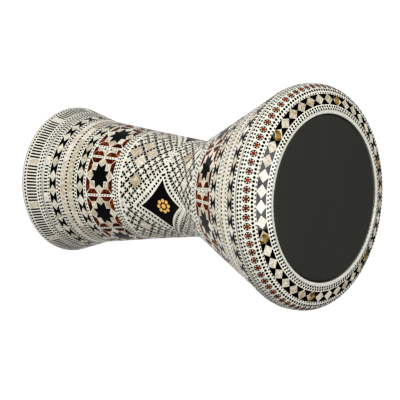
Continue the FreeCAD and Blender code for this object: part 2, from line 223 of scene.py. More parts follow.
# %% Making one band's mesh
def mesh_from(name, place, normal, faces_by_size, finish_index, tone, finishes):
    """A mesh whose faces are given by size: [(array of corner indices), ...]."""
    mesh = bpy.data.meshes.new(name)
    loops = np.concatenate([faces.ravel() for faces in faces_by_size]).astype(np.int32)
    sizes = np.concatenate([np.full(len(faces), faces.shape[1]) for faces in faces_by_size])
    mesh.vertices.add(len(place))
    mesh.vertices.foreach_set("co", place.astype(np.float32).ravel())
    mesh.loops.add(len(loops))
    mesh.loops.foreach_set("vertex_index", loops)
    mesh.polygons.add(len(sizes))
    mesh.polygons.foreach_set("loop_start", np.r_[0, np.cumsum(sizes)[:-1]].astype(np.int32))
    mesh.update(calc_edges=True)
    mesh.polygons.foreach_set("material_index", finish_index.astype(np.int32))
    for finish in finishes:
        mesh.materials.append(finish)
    mesh.polygons.foreach_set("use_smooth", np.ones(len(sizes), bool))
    mesh.attributes.new("tone", "FLOAT", "FACE").data.foreach_set("value", tone.astype(np.float32))
    mesh.validate()
    mesh.normals_split_custom_set_from_vertices(normal.astype(np.float32))
    return mesh


def new_object(name, data):
    """An object in the scene at the origin."""
    made = bpy.data.objects.new(name, data)
    bpy.context.scene.collection.objects.link(made)
    return made


def lay_band(name, path, ends, groups, body, node, stops=(), window=None):
    """Builds the band between its two ends, in millimetres along the path, in place of its CAD node.
    The ground takes the first finish, bone."""
    place, normal, faces = ground_grid(path, *ends, stops=stops, window=window)
    names = ["bone"] + sorted({group["finish"] for group in groups} - {"bone"})
    places, normals, all_faces = [place], [normal], [faces]
    indices, tones, used = [np.zeros(len(faces))], [np.full(len(faces), 0.5)], len(place)
    for group in groups:
        corners = turned_outwards(group["corners"])
        spot, out = on_drum(path, corners, group["depth"])
        count, size = corners.shape[:2]
        places.append(spot.reshape(-1, 3))
        normals.append(out.reshape(-1, 3))
        all_faces.append(used + np.arange(count * size).reshape(count, size))
        indices.append(np.full(count, names.index(group["finish"])))
        tones.append(group["tone"])
        used += count * size
    mesh = mesh_from(name, np.concatenate(places), np.concatenate(normals), all_faces,
                     np.concatenate(indices), np.concatenate(tones), [finish[n] for n in names])
    band = new_object(name, mesh)
    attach(band, body)
    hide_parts(node)
    print(name, "faces", len(mesh.polygons))


# %% [markdown]
# ## Finishes
#
# Colours are written as the sRGB hex values one would pick from a colour chart, and one function
# turns them to Blender's linear values. One helper adds a node and gives back one of its outputs.
# Sockets that share a name go by number: a map range has its value at 0, its old limits at 1 and 2
# and its new ones at 3 and 4; a mix has its factor at 0, two colours at 6 and 7 and the result at 2.


# %% Colour and node helpers
def colour(code):
    """sRGB hex to linear: c / 12.92 below 0.04045, otherwise ((c + 0.055) / 1.055) ** 2.4."""
    parts = [int(code[i:i + 2], 16) / 255 for i in (1, 3, 5)]
    return [c / 12.92 if c <= 0.04045 else ((c + 0.055) / 1.055) ** 2.4 for c in parts] + [1.0]


def add(tree, kind, inputs=None, out=0, **settings):
    """Adds one node and returns its output; inputs maps a socket to a value or another's output."""
    node = tree.nodes.new(kind)
    for name, value in settings.items():
        setattr(node, name, value)
    for name, value in (inputs or {}).items():
        if isinstance(value, bpy.types.NodeSocket):
            tree.links.new(value, node.inputs[name])
        else:
            node.inputs[name].default_value = value
    return node.outputs[out] if node.outputs else None


def new_finish(name):
    """An empty material and its node tree."""
    made = bpy.data.materials.new(name)
    made.use_nodes = True
    made.node_tree.nodes.clear()
    return made, made.node_tree


COLOUR_MIX = {"data_type": "RGBA", "out": 2}
finish = {}
print("middle grey is", round(colour("#808080")[0], 3), "in linear light")

# %% [markdown]
# ### Lacquered tiles
#
# All tiles lie under the same clear lacquer, which gives the coat: hard, glassy and a little
# uneven from hand polishing. Under it each tile has its own tone, read from the `tone` attribute
# that was stored with its face, and a slight figure whose scale is in real millimetres.


# %% Lacquered tile finish
CLOUD = (0.37, 0.63)      # noise at which the colour is all dark and all light
TONE_REACH = 0.7          # how far a tile's own tone, at full share, moves the light end up
VEIN_EDGE = 0.13          # rise of the noise from a vein's edge to its middle
LACQUER = {"Coat Roughness": 0.06, "Coat IOR": 1.3, "IOR": 1.5, "Specular IOR Level": 0.0}


def lacquered(name, dark, light, vein, figure_mm, vein_share, roughness=0.38, tone_share=1.0,
              vein_from=0.62, coat=0.5, painted_wall_shade=None):
    """Colour = dark to light by tone_share * tone + cloud, for the tile's own tone and a cloudy figure.
    Given a shade colour for the sides, faces that don't look upwards take it instead: painted shade where
    less light falls than on the tops."""
    made, tree = new_finish(name)
    spot = add(tree, "ShaderNodeTexCoord", out="Object")
    tone = add(tree, "ShaderNodeAttribute", out="Fac", attribute_name="tone")
    shift = add(tree, "ShaderNodeCombineXYZ", {0: tone, 1: tone, 2: tone})
    moved = add(tree, "ShaderNodeVectorMath", {0: spot, 1: shift}, operation="ADD")
    scale = 1000.0 / figure_mm    # figures to the metre
    cloud = add(tree, "ShaderNodeTexNoise", {"Vector": moved, "Scale": scale, "Detail": 3.0})
    streak = add(tree, "ShaderNodeTexNoise",
                 {"Vector": moved, "Scale": 1.6 * scale, "Detail": 2.0, "Distortion": 1.5})
    mixed = add(tree, "ShaderNodeMath", {0: tone, 1: tone_share, 2: cloud}, operation="MULTIPLY_ADD")
    high = CLOUD[1] + tone_share * TONE_REACH
    level = add(tree, "ShaderNodeMapRange", {0: mixed, 1: CLOUD[0], 2: high})
    shade = add(tree, "ShaderNodeMix", {0: level, 6: colour(dark), 7: colour(light)}, **COLOUR_MIX)
    # Painted shade: the colour darkens as the face's normal turns from up to sideways.
    if painted_wall_shade:
        facing = add(tree, "ShaderNodeNewGeometry", out="Normal")
        up = add(tree, "ShaderNodeSeparateXYZ", {0: facing}, out="Z")
        top = add(tree, "ShaderNodeMapRange", {0: up, 1: 0.35, 2: 0.75})
        shade = add(tree, "ShaderNodeMix", {0: top, 6: colour(painted_wall_shade), 7: shade}, **COLOUR_MIX)
    veins = add(tree, "ShaderNodeMapRange",
                {0: streak, 1: vein_from, 2: vein_from + VEIN_EDGE, 4: vein_share})
    shade = add(tree, "ShaderNodeMix", {0: veins, 6: shade, 7: colour(vein)}, **COLOUR_MIX)
    shader = add(tree, "ShaderNodeBsdfPrincipled",
                 {"Base Color": shade, "Roughness": roughness, "Coat Weight": coat, **LACQUER})
    add(tree, "ShaderNodeOutputMaterial", {"Surface": shader})
    return made


# %% Finishes of the tiles
# Bone-coloured polyester resin, poured between the tiles and sanded: even, warm white.
finish["bone"] = lacquered("bone resin under lacquer", "#dad8cb", "#edebe0", "#c4c0ae", 6.0, 0.25)
# Mother-of-pearl, sawn from shell and sanded: cream with clouds of silver and tan growth veins.
finish["pearl"] = lacquered("mother-of-pearl under lacquer", "#aa9a7c", "#ebe6da", "#b08a4a", 3.4, 0.7,
                            roughness=0.25, tone_share=0.35)
# White shell, sawn and sanded: paler than mother-of-pearl and nearly without veins, for the lattice.
finish["shell"] = lacquered("white shell under lacquer", "#d3cfc0", "#eae6d8", "#bcb192", 3.5, 0.35,
                            roughness=0.3)
# Black polyester resin in place of ebony, poured and sanded: even and deep, so the lacquer shows.
finish["black"] = lacquered("black resin under lacquer", "#030303", "#080807", "#0f0f0e", 8.0, 0.3,
                            coat=0.45)
# Tortoiseshell, here dyed horn: near black to mahogany, with orange translucent flames.
finish["tortoise"] = lacquered("dyed horn under lacquer", "#0e0200", "#561c05", "#b8601a", 7.0, 0.9,
                               vein_from=0.52, coat=0.3)
# Orange-red cast resin: a dull glow in the hearts of the rosettes.
finish["ember"] = lacquered("orange resin under lacquer", "#6c2a06", "#923f0b", "#4c1a04", 3.0, 0.3,
                            coat=0.3)
# Grey glue, sanded flush: a thin dull line round the lattice's cells and along the frames.
finish["seam"] = lacquered("grey glue seam under lacquer", "#5f615a", "#7b7c74", "#50514b", 3.0, 0.2)
print("tile finishes:", ", ".join(sorted(finish)))

# %% [markdown]
# ## Courses
#
# The simple courses are rows of dots, short bars, strips of pearl and chains of rhombi. Each course
# is a small function of where it runs and how many tiles it has, because courses differ in little
# else.


# %% Dots
def circle(sides):
    """Corners of a regular polygon with radius 1, anticlockwise."""
    turn = np.arange(sides) * 2 * math.pi / sides
    return np.stack([np.cos(turn), np.sin(turn)], -1)


def rhombus(half_wide, half_high):
    """Its four points, from the lowest one on."""
    return np.array([(0, -half_high), (half_wide, 0), (0, half_high), (-half_wide, 0)])


def round_dots(path, spots, size, finish_name="black", depth=DOT_DEPTH):
    """Eight-sided dots of this diameter in millimetres at (azimuth, length) spots."""
    to_degrees = at(degrees_per_mm(path, spots[:, 1]), 1.0)[:, None]
    return polygons(spots[:, None] + circle(8) * size / 2 * to_degrees, finish_name, depth)


def dot_rows(path, rows):
    """Rows of dots round the drum, given as (length, diameter, number of dots, start in pitches)."""
    groups = []
    for length, size, count, start in rows:
        centres = (np.arange(count) + start) * 360.0 / count
        groups.append(round_dots(path, at(centres, length), size))
    return groups


print("a 3 mm dot has sides of", round(float(3.0 * math.sin(math.pi / 8)), 2), "mm")

# %% Bars, strips and rhombi
RESIN_LINE = 0.5          # mm of resin left beside a pearl tile
GLUE_LINE = 0.35          # mm, width of a line of glue


def box_tiles(centres, half_degrees, low, high, finish_name, parts=1):
    """Upright rectangles between two lengths, centred on these azimuths."""
    centres, half = np.broadcast_arrays(np.asarray(centres, float), half_degrees)
    corners = np.stack([at(centres + half * x, y)
                        for x, y in ((-1, low), (1, low), (1, high), (-1, high))], 1)
    return quads(corners, finish_name, parts=parts)


def bars(path, low, high, first, spacing, pearl_degrees, pitch_mm, width_mm):
    """Groups of upright black bars between pearl tiles that stand spacing degrees apart from first on.
    The last gap closes the round."""
    count = int(360.0 / spacing)
    pearls = first + spacing * np.arange(count)
    gaps = np.diff(np.r_[pearls, pearls[0] + 360.0])
    half_pearl = pearl_degrees / 2
    wide = degrees_per_mm(path, (low + high) / 2)
    places = []
    for start, gap in zip(pearls, gaps):
        room = gap - 2 * half_pearl
        number = max(round(room / (pitch_mm * wide)), 1)
        places.append(start + half_pearl + room * (np.arange(number) + 0.5) / number)
    black = box_tiles(np.concatenate(places), width_mm / 2 * wide, low, high, "black")
    pearl = box_tiles(pearls, half_pearl - RESIN_LINE * wide, low, high, "pearl", parts=3)
    return [black, pearl]


def strip(path, low, high, piece_mm):
    """A strip of pearl laid end to end in pieces of about this length."""
    middle = (low + high) / 2
    count = round(2 * math.pi * radius_at(path, middle) / piece_mm)
    centres = (np.arange(count) + 0.5) * 360.0 / count
    half = 180.0 / count - GLUE_LINE / 2 * degrees_per_mm(path, middle)
    return box_tiles(centres, half, low, high, "pearl", parts=4)


def rhombi(path, low, high, count, first, waist_mm=0.5, skip=()):
    """A chain of pearl rhombi, and between them black hourglasses whose waist is 2 * waist_mm wide."""
    step = 360.0 / count
    middle, half_high = (low + high) / 2, (high - low) / 2
    wide = degrees_per_mm(path, middle)
    centres = first + step * np.delete(np.arange(count), list(skip))
    reach = step / 2 - (waist_mm + RESIN_LINE) * wide
    tall = half_high - RESIN_LINE * 0.3
    pearl = quads(rhombus(reach, tall) + at(centres, middle)[:, None], "pearl", parts=3)
    joints = first + step * (np.arange(count) + 0.5)
    base, waist = step / 2 - RESIN_LINE * 1.2 * wide, waist_mm * wide
    upper = np.array([(-base, half_high), (-waist, 0), (waist, 0), (base, half_high)])
    both = np.stack([upper, upper * (1, -1)])
    corners = both + at(joints, middle)[:, None, None]
    return [pearl, quads(corners.reshape(-1, 4, 2), "black", parts=4)]


# %% [markdown]
# ## Foot bands
#
# From the bare edge upwards: upright bars between pearl tiles, the turned groove, small bars, then
# rhombi, dots and strips of pearl up to the first band of stars. Above the groove each band starts
# where the one below it ends, in a line of bone.

# %% Foot bands
# Ends of the bands, in mm along the body's profile. All but the first meet.
FOOT_RIM = (1.35, 31.75)
FOOT_BAND = (34.3, 106.7)
FOOT_STARS = (106.7, 153.05)
LATTICE = (153.05, 320.5)
BOWL_STARS = (320.5, 369.1)
BOWL_BAND = (369.1, 441.35)

foot_rim = dot_rows(body_path, [(4.4, 3.0, 133, 0.6), (26.3, 2.8, 125, 0.1), (30.0, 2.7, 124, 0.1)])
foot_rim += bars(body_path, 7.4, 23.1, -96.8, 35.25, pearl_degrees=5.2, pitch_mm=4.3, width_mm=2.15)
lay_band("foot_rim_mosaic", body_path, FOOT_RIM, foot_rim, "drum_body", "foot_rim_inlay")

foot = dot_rows(body_path, [
    (42.9, 2.2, 119, 0), (57.2, 2.5, 114, 0.1), (60.2, 3.0, 106, 0.2), (72.4, 3.5, 106, 0.9),
    (85.2, 3.5, 103, 0.5), (88.6, 2.5, 106, 0.2), (105.1, 2.3, 104, 0.2)])
foot += bars(body_path, 35.4, 40.9, -99.5, 31.5, pearl_degrees=6.6, pitch_mm=4.5, width_mm=2.0)
foot += rhombi(body_path, 44.8, 54.9, 28, -60.9, waist_mm=1.5)
foot += rhombi(body_path, 91.2, 102.8, 27, -78.6)
foot += [strip(body_path, 61.9, 70.5, 26.0), strip(body_path, 74.2, 83.3, 26.0)]
lay_band("foot_band_mosaic", body_path, FOOT_BAND, foot, "drum_body", "foot_band_inlay")

# %% [markdown]
# ## Star panels
#
# Each star band is a row of framed panels. A panel holds a black eight-pointed star; pearl squares
# stand on their points between the arms that face up, down and sideways, and pearl rectangles fill
# the corners. Eight mitred pieces of dyed horn frame it. Where the number of panels doesn't close
# the round, the setter put in one narrow panel, and so does this function.


# %% One star panel in millimetres
DRAWN_HALF = (24.0, 21.6)     # half width and half height that its points are drawn for


def mirrored(shapes):
    """Each (tiles, 4, 2) shape in all four quadrants."""
    shapes = np.asarray(shapes, float)
    return np.concatenate([shapes * flip for flip in ((1, 1), (-1, 1), (-1, -1), (1, -1))])


def star_panel(half_wide, half_high):
    """Tiles of one panel, as (finish, corners in millimetres from its centre, parts)."""
    tips = np.array([(7.0, 15.0), (17.0, 6.6)])
    top_notch, side_notch, corner_notch = (0.0, 10.3), (11.6, 0.0), (6.9, 7.4)
    arms = [[(0, 0), top_notch, tips[0], corner_notch], [(0, 0), corner_notch, tips[1], side_notch]]
    above, beside = 5.9, 6.2        # half diagonals of the squares above and beside the star
    square = rhombus(above, above)
    squares = [square + (0, half_high - above), square + (0, above - half_high),
               square * 1.05 + (half_wide - beside, 0), square * 1.05 + (beside - half_wide, 0)]
    frame_x, frame_y = half_wide - 6.6, half_high - 6.2     # inner corner of the horn frame
    right, top = frame_x - 0.6, frame_y - 0.6
    corner_tile = [[(7.8, 8.0), (right, 8.0), (right, top), (7.8, top)]]
    top_piece = [(7.8, frame_y), (right, frame_y), (half_wide - 1.0, half_high), (2.0, half_high)]
    side_piece = [(frame_x, 7.4), (half_wide, 1.7), (half_wide, half_high - 1.0), (frame_x, top)]
    return [("black", mirrored(arms), 4), ("pearl", np.array(squares), 4),
            ("pearl", mirrored(corner_tile), 3), ("tortoise", mirrored([top_piece, side_piece]), 4)]


def narrow_panel(half_wide, half_high):
    """Tiles of the narrow closing panel."""
    square = rhombus(1, 1)
    black = [square * 1.9 + (1.5 - half_wide, side * 5.3) for side in (-1, 1)]
    left = [(-half_wide, 8.2), (-1.2, 8.2), (-1.2, 16.0), (-half_wide, 16.0)]
    upright = [(-0.5, 6.6), (half_wide, 1.2), (half_wide, half_high), (-0.5, 16.4)]
    end = [(-half_wide, 16.9), (-1.0, 16.9), (half_wide - 0.6, half_high), (-half_wide, half_high)]
    both = np.array([(1, 1), (1, -1)])[:, None]
    horn = np.concatenate([upright * both, end * both])
    return [("pearl", square[None] * (half_wide - 0.4) + (0.3, 0), 3), ("black", np.array(black), 1),
            ("pearl", np.array(left) * both, 2), ("tortoise", horn, 3)]


print("tiles in a star panel:", sum(len(tiles) for name, tiles, parts in star_panel(*DRAWN_HALF)))

# %% [markdown]
# A band repeats the panel round the drum with a dotted upright of bone between neighbours. The panel
# is drawn once in millimetres and scaled to the room it gets, as a setter cuts all pieces of one
# band to one template. Drawing it straight in degrees would squash it where the drum is narrow.

# %% A whole star band
DIVIDER = 3.6             # mm, width of the dotted uprights between panels
UPRIGHT_DOT = 1.8         # mm, diameter of the uprights' dots
SMALL_PITCH = 4.6         # mm between dots of an upright, or of a narrow band


def place_panel(path, tiles, centre, length, scale=1.0):
    """Moves a panel's tiles from millimetres to the drum, round this azimuth and length."""
    wide = degrees_per_mm(path, length)
    return [quads(corners * scale * (wide, 1) + (centre, length), name, parts=parts)
            for name, corners, parts in tiles]


def star_band(path, low, high, count, filler_from, filler_to):
    """count star panels and one narrow panel between the azimuths filler_from and filler_to."""
    middle, half_high = (low + high) / 2, (high - low) / 2
    wide = degrees_per_mm(path, middle)
    step = (360.0 - (filler_to - filler_from)) / count
    half_wide = (step / wide - DIVIDER) / 2
    scale = min(half_wide / DRAWN_HALF[0], half_high / DRAWN_HALF[1])
    panel = star_panel(half_wide / scale, half_high / scale)
    groups = []
    for number in range(count):
        groups += place_panel(path, panel, filler_to + step * (number + 0.5), middle, scale)
    narrow = ((filler_to - filler_from) / wide - DIVIDER) / 2
    groups += place_panel(path, narrow_panel(narrow, half_high), (filler_from + filler_to) / 2, middle)
    uprights = np.r_[filler_to + step * np.arange(count), filler_from]
    rows = np.arange(low + 2.2, high - 1, SMALL_PITCH)
    spots = at(uprights[:, None], rows).reshape(-1, 1, 2)
    return groups + [polygons(spots + circle(6) * UPRIGHT_DOT / 2 * (wide, 1), "black", DOT_DEPTH)]


foot_star = star_band(body_path, 108.0, 152.6, 9, -121.4, -109.8)
lay_band("foot_star_mosaic", body_path, FOOT_STARS, foot_star, "drum_body", "foot_star_inlay")

bowl_star = star_band(body_path, 322.0, 367.4, 11, -85.2, -76.2)
lay_band("bowl_star_mosaic", body_path, BOWL_STARS, bowl_star, "drum_body", "bowl_star_inlay")

# %% [markdown]
# ## The lattice
#
# Round the stem and neck runs a lattice of white squares on their points, parted by diagonal strips
# of tiny black and white cells. The setter kept the squares square although the drum changes
# width, so the rows are closer together where the neck is narrow. In numbers: one step round the
# drum is 1/66 of a turn, and one step up is the same distance in millimetres at that radius. The
# row number is therefore the integral of 1 / (step angle * radius) along the profile.

# %% Lattice coordinates
STEPS_ROUND = 66
STEP = 360.0 / STEPS_ROUND
LATTICE_AZIMUTH = -121.5  # azimuth of step 0
LATTICE_ZERO = 191.5      # mm along the profile of row 0
LATTICE_LOW = 164.8       # its tiles lie between these, mm along the profile
LATTICE_HIGH = 308.0

row_rate = 1.0 / (math.radians(STEP) * body_path["radius"])
row_number = np.r_[0, np.cumsum((row_rate[1:] + row_rate[:-1]) / 2 * np.diff(body_path["length"]))]
row_number -= np.interp(LATTICE_ZERO, body_path["length"], row_number)
first_row = math.floor(np.interp(LATTICE_LOW, body_path["length"], row_number))
last_row = math.ceil(np.interp(LATTICE_HIGH, body_path["length"], row_number))
print("lattice rows", first_row, "to", last_row)


def lattice_place(points):
    """(steps round, rows up) to (azimuth, millimetres along the profile)."""
    length = np.interp(points[..., 1], row_number, body_path["length"])
    return at(LATTICE_AZIMUTH + STEP * points[..., 0], length)


# %% [markdown]
# Three black four-pointed panels sit on the neck, a third of a turn apart. Their sides are arcs
# that bend inwards. Each has a bone frame with two rows of dots, and bone bands that run on from its
# four points. Lattice tiles under a panel, frame or band are left out.

# %% Diamond panels' outline
DIAMONDS = 3
THIRD = 360.0 / DIAMONDS  # degrees from one panel to the next
DIAMOND_AT = (-61.5, 236.0)   # azimuth of the first, mm along the profile
DIAMOND_WIDE = 35.8       # half width, mm
DIAMOND_RISE = 28.9       # upper point above the side points, mm
DIAMOND_DROP = 36.6       # lower point below them, mm
DIAMOND_HOLLOW = 4.3      # how far each side bends inwards, mm
SIDE_STEPS = 14           # points along one side
TIP_STRETCH = 1.45        # a point moves out by this for each mm that a side moves
DIAMOND_DEGREES = degrees_per_mm(body_path, DIAMOND_AT[1])


def hollow_side(start, end):
    """Points from start to end, pulled towards (0, 0) by hollow * 4 t (1 - t) at the fraction t."""
    share = np.linspace(0, 1, SIDE_STEPS, endpoint=False)[:, None]
    middle = (start + end) / 2
    pull = middle / np.linalg.norm(middle) * DIAMOND_HOLLOW * 4 * share * (1 - share)
    return start + (end - start) * share - pull


def diamond_outline(grow):
    """Closed outline in millimetres round the panel's centre, anticlockwise, grown outwards evenly."""
    reach = grow * TIP_STRETCH
    tips = np.array([(DIAMOND_WIDE + reach, 0), (0, DIAMOND_RISE + reach),
                     (-DIAMOND_WIDE - reach, 0), (0, -DIAMOND_DROP - reach)])
    return np.concatenate([hollow_side(tips[k], tips[(k + 1) % 4]) for k in range(4)])


def from_diamond(points, number):
    """Millimetres round a panel's centre to (azimuth, millimetres along the profile)."""
    return points * (DIAMOND_DEGREES, 1) + (DIAMOND_AT[0] + THIRD * number, DIAMOND_AT[1])


print("a panel is", 2 * DIAMOND_WIDE, "mm wide and", DIAMOND_RISE + DIAMOND_DROP, "mm high")

# %% What a frame covers
FRAME_WIDE = 15.0         # bone frame round a panel, mm
FRAME_DOTS = (5.2, 13.0)  # its rows of dots, mm from the panel's edge
FRAME_LINES = (2.9, 7.7, 10.4)    # its thin glue lines
FRAME_REACH = FRAME_WIDE * TIP_STRETCH    # mm from a panel's point to its frame's
TUCK = 2.0                # mm that the lattice runs in under a frame, and that bands' dots keep off it
SIDE_BAND = 4.6           # half width of the bands that run on sideways, mm
TIP_BAND = 2.0            # half width of those that run on up and down, mm


def in_frame(points, margin):
    """True where (azimuth, length) points fall within a panel grown by margin, or on its bands:
    |x| / a + |y| / b < 1 - pull, with a pull that hollows the sides by 1.4 times the panel's hollow."""
    away = (points[..., 0] - DIAMOND_AT[0] + THIRD / 2) % THIRD - THIRD / 2
    across, up = np.abs(away) / DIAMOND_DEGREES, points[..., 1] - DIAMOND_AT[1]
    half_wide = DIAMOND_WIDE + margin
    half_high = np.where(up > 0, DIAMOND_RISE, DIAMOND_DROP) + margin
    part = np.clip(across / half_wide, 0, 1)
    pull = DIAMOND_HOLLOW * 1.4 * 4 * part * (1 - part) / half_wide
    inside = across / half_wide + np.abs(up) / half_high < 1 - pull
    return inside | (np.abs(up) < SIDE_BAND) | (across < TIP_BAND)


print("a frame's points reach", round(FRAME_REACH, 1), "mm past its panel's points")

# %% [markdown]
# A diagonal strip of the lattice is laid from rods of black and white cells, cut to length. Cell by
# cell it is a row of small squares that stand on their points, so the strips, the white squares and
# the large squares of pearl all come from one function in lattice steps. The cells' places vary a
# little, because an even rhythm looks printed.


# %% Lattice tiles
LARGE_GRIP = 10.0         # mm from a panel within which a large pearl is left out
LARGE_REACH = 1.6         # lattice steps from a large pearl's centre that it takes up


def on_point(centres, half):
    """Squares on their points, in lattice steps."""
    return centres[:, None] + rhombus(half, half)


def kept(corners, margin=FRAME_REACH - TUCK):
    """Drops the lattice tiles that a frame covers or that lie outside the lattice's edges."""
    placed = lattice_place(corners)
    middle = placed.mean(1)
    inside = (placed[..., 1].min(1) > LATTICE_LOW) & (placed[..., 1].max(1) < LATTICE_HIGH)
    return placed[inside & ~in_frame(middle, margin)]


steps, rows = np.meshgrid(np.arange(STEPS_ROUND), np.arange(first_row, last_row + 1), indexing="ij")
every = np.stack([steps, rows], -1).reshape(-1, 2)
squares_at = every[(every.sum(1) % 2) == 1]    # centres of the white squares
crossings = every[(every.sum(1) % 2) == 0]     # where two strips cross

cluster = [(0, 2), (0, -2), (2, 0), (-2, 0), (6, 0), (-6, 0)]    # large pearls, in (steps, rows)
big = np.array([((step + STEPS_ROUND // DIAMONDS * third) % STEPS_ROUND, row + level)
                for third in range(DIAMONDS) for level in (0, 14) for step, row in cluster])


def clear_of_big(centres):
    """True where a lattice centre isn't under a large pearl, which takes the place of four squares."""
    half_round = STEPS_ROUND // 2
    round_gap = np.abs((centres[:, None, 0] - big[None, :, 0] + half_round) % STEPS_ROUND - half_round)
    up_gap = np.abs(centres[:, None, 1] - big[None, :, 1])
    return ((round_gap + up_gap) > LARGE_REACH).all(1)


# A strip is a row of rods with black cells half a step apart, set in white. Rods cut by hand don't
# line up, so each diagonal starts at its own place and each rod a little off its diagonal's rhythm.
rods = np.concatenate([crossings, crossings])
along = np.repeat([(1, 1), (-1, 1)], len(crossings), 0)
rising = (crossings[:, 0] - crossings[:, 1]) % STEPS_ROUND
falling = crossings.sum(1) % STEPS_ROUND
start = chooser.uniform(0.0, 0.5, 2 * STEPS_ROUND)[np.r_[rising, STEPS_ROUND + falling]]
start += chooser.uniform(-0.05, 0.05, len(rods))


def cells_at(share):
    """Centres of one cell of every rod, at this share of the way to the next crossing."""
    centres = rods + along * (start + share)[:, None]
    return centres[clear_of_big(centres)]


black_cells = np.concatenate([cells_at(0.0), cells_at(0.5)])
white_cells = np.concatenate([cells_at(0.25), cells_at(0.75)])
whites = squares_at[clear_of_big(squares_at)]
print("white squares", len(whites), "strip cells", len(black_cells) + len(white_cells))

# %% Lattice as groups of tiles
# Half diagonals in lattice steps. A seam is what shows of a grey square under a smaller one.
CELL_SEAM, BLACK_CELL, WHITE_CELL = 0.33, 0.315, 0.2
WHITE_SQUARE = 0.45
LARGE_SEAM, LARGE_PEARL = 1.56, 1.5

lattice = [
    quads(kept(on_point(np.concatenate([black_cells, white_cells]), CELL_SEAM)), "seam", SEAM_DEPTH),
    quads(kept(on_point(white_cells, WHITE_CELL)), "shell"),
    quads(kept(on_point(whites, WHITE_SQUARE)), "shell"),
    quads(kept(on_point(black_cells, BLACK_CELL)), "black", INSET_DEPTH),
    quads(kept(on_point(big, LARGE_SEAM), LARGE_GRIP), "seam", LARGE_SEAM_DEPTH, 3),
    quads(kept(on_point(big, LARGE_PEARL), LARGE_GRIP), "pearl", DOT_DEPTH, 4)]
print("faces of the lattice itself:", sum(len(group["corners"]) for group in lattice))

# %% [markdown]
# The frame round each black panel is a bone ribbon with three thin glue lines and two rows of dots,
# set at even distances along the ribbon's own outline. From its points bands of bone run on, up and
# down with one row of small grey dots and sideways with five pairs of black ones.


# %% Frames, bands and dots of the lattice
FRAME_DOT = 3.6           # mm, diameter of the frame's dots
FRAME_PITCH = 4.7         # mm between them
TIP_DOT = 1.4             # mm, the grey dots
SIDE_DOT = 1.8            # mm, the pairs of black dots
SIDE_OFFSET = 2.4         # mm that they lie above or below the middle


def along_outline(outline, pitch):
    """Points at even distances along a closed outline."""
    closed = np.r_[outline, outline[:1]]
    travelled = np.r_[0, np.cumsum(np.hypot(*np.diff(closed, axis=0).T))]
    spots = np.linspace(0, travelled[-1], max(round(travelled[-1] / pitch), 3), endpoint=False)
    return np.stack([np.interp(spots, travelled, closed[:, k]) for k in (0, 1)], -1)


def ribbon(inner, outer):
    """Four-cornered tiles between two outlines with the same number of points."""
    return np.stack([inner, outer, np.roll(outer, -1, 0), np.roll(inner, -1, 0)], 1)


reach = FRAME_REACH + TUCK
below = np.arange(LATTICE_LOW + 2, DIAMOND_AT[1] - DIAMOND_DROP - reach, SMALL_PITCH)
above = np.arange(DIAMOND_AT[1] + DIAMOND_RISE + reach, LATTICE_HIGH - 1, SMALL_PITCH)
tip_rows = np.r_[below, above]
room = THIRD - 2 * (DIAMOND_WIDE + reach) * DIAMOND_DEGREES
for number in range(DIAMONDS):
    frame_tiles = ribbon(diamond_outline(0.0), diamond_outline(FRAME_WIDE))
    lattice.append(quads(from_diamond(frame_tiles, number), "bone", RIBBON_DEPTH, 5))
    for line in FRAME_LINES:
        glue = ribbon(diamond_outline(line), diamond_outline(line + GLUE_LINE))
        lattice.append(quads(from_diamond(glue, number), "seam", DOT_DEPTH))
    for row in FRAME_DOTS:
        spots = from_diamond(along_outline(diamond_outline(row), FRAME_PITCH), number)
        lattice.append(round_dots(body_path, spots, FRAME_DOT, depth=TOP_DEPTH))
    azimuth = DIAMOND_AT[0] + THIRD * number
    lattice.append(round_dots(body_path, at(azimuth, tip_rows), TIP_DOT, "seam", TOP_DEPTH))
    spread = azimuth + THIRD / 2 + np.linspace(-room / 2, room / 2, 5)
    for side in (-SIDE_OFFSET, SIDE_OFFSET):
        spots = at(spread, DIAMOND_AT[1] + side)
        lattice.append(round_dots(body_path, spots, SIDE_DOT, depth=TOP_DEPTH))
lattice += dot_rows(body_path, [
    (154.4, 2.5, 96, 0.6), (158.0, 2.9, 104, 0.2), (161.6, 2.6, 96, 0.3),
    (311.0, 2.5, 106, 0.7), (314.6, 2.7, 112, 0.3), (318.2, 2.3, 109, 0.5)])
lay_band("lattice_mosaic", body_path, LATTICE, lattice, "drum_body", "lattice_inlay")

# %% [markdown]
# ## Bowl and ring bands
#
# The same courses go on up the bowl to the seam, and over the tuning ring. On the ring's side sits a
# row of small rosettes: an orange heart in a wheel of black and white wedges. Only the black wedges
# are drawn, and the bone ground shows between.

# %% Bowl band
bowl = dot_rows(body_path, [
    (370.6, 2.6, 143, 0.7), (389.7, 2.1, 154, 0.6), (393.7, 2.9, 145, 0.9), (405.7, 3.3, 155, 0.9),
    (417.9, 2.9, 159, 0.8), (422.1, 2.1, 173, 0), (438.4, 3.1, 182, 0.8)])
bowl += rhombi(body_path, 372.6, 386.2, 36, -82.5, waist_mm=1.0)
bowl += rhombi(body_path, 424.4, 436.4, 42, -83.2, waist_mm=1.5)
bowl += [strip(body_path, 396.0, 403.2, 30.0), strip(body_path, 408.2, 415.7, 30.0)]
lay_band("bowl_band_mosaic", body_path, BOWL_BAND, bowl, "drum_body", "bowl_band_inlay")


# %% Ring side with rosettes
HEART, WHEEL = 2.6, 4.9       # mm, radii of a rosette's heart and of its wheel
FACE_EDGE = 127.9             # mm, radius at which the ring's side and face meet
FACE_SPLIT = float(np.interp(-FACE_EDGE, -ring_path["radius"], ring_path["length"]))
RING_SIDE = (0.05, FACE_SPLIT)    # ends of the band, mm along the ring's profile


